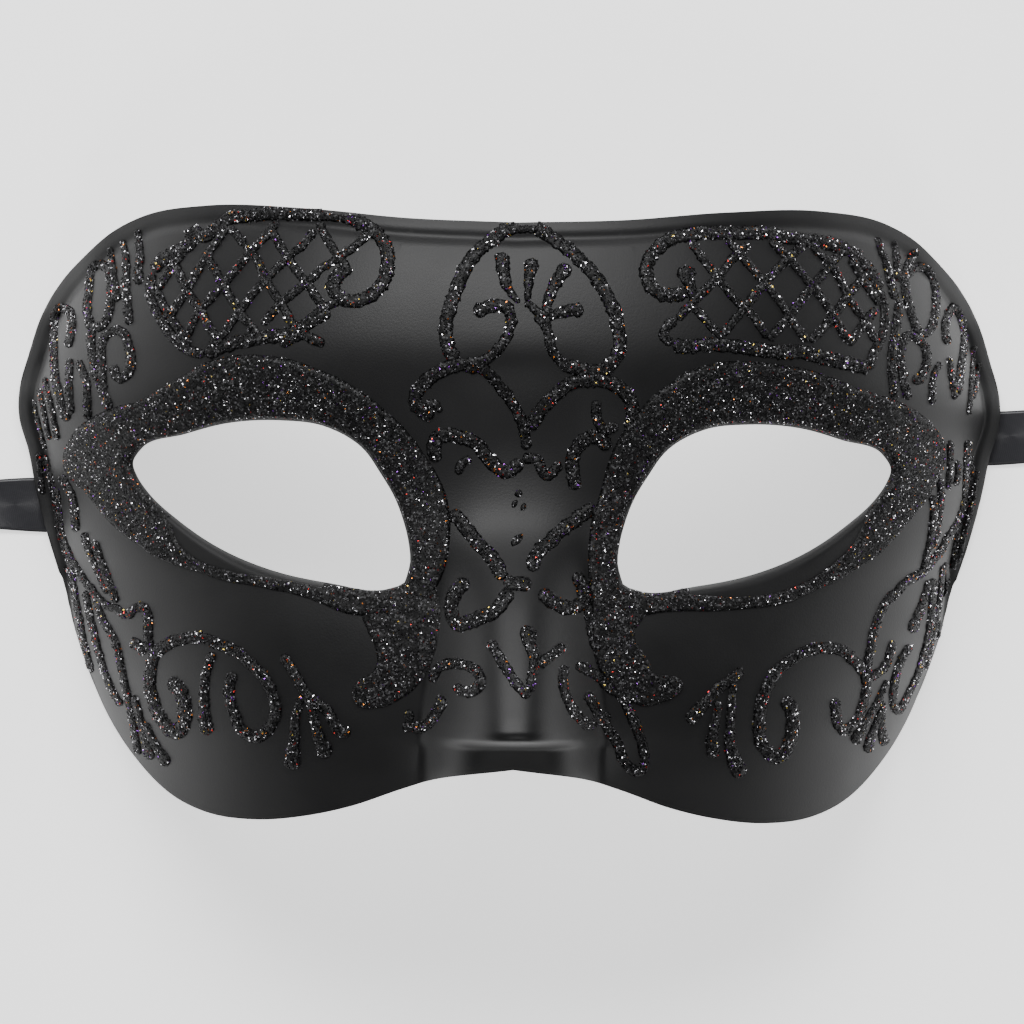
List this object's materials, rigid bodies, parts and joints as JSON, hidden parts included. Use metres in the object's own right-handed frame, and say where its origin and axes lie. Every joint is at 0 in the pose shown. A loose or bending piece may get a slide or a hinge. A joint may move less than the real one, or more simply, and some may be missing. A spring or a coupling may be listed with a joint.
{
  "type": "masquerade mask",
  "caption": "Moulded half mask with almond eye holes, a shaped nose, piped glitter scrollwork and a ribbon tie at each temple, lying face up",
  "frame": {"origin": "on the surface that the mask lies on, under the middle of the mask without its ribbons", "axes": "+X across the face to the right of the picture, +Y towards the forehead, +Z out of the mask's front, upwards"},
  "size_m": [0.212, 0.1081, 0.0801],
  "materials": {
    "shell_plastic": "matte black moulded plastic",
    "glitter_glue": "black glitter glue with silver flakes",
    "ribbon_satin": "black satin ribbon"
  },
  "bodies": {
    "root": {"mask_shell": "shell_plastic", "eye_band_left": "glitter_glue", "eye_band_right": "glitter_glue", "band_tail_left": "glitter_glue", "band_tail_right": "glitter_glue", "nose_cross_left": "glitter_glue", "nose_cross_right": "glitter_glue", "crest_egg": "glitter_glue", "crest_arc_left": "glitter_glue", "crest_arc_right": "glitter_glue", "crest_diagonal_left": "glitter_glue", "crest_diagonal_right": "glitter_glue", "cheek_curl_left": "glitter_glue", "cheek_curl_right": "glitter_glue", "ribbon_left": "ribbon_satin", "ribbon_right": "ribbon_satin"}
  },
  "joints": []
}
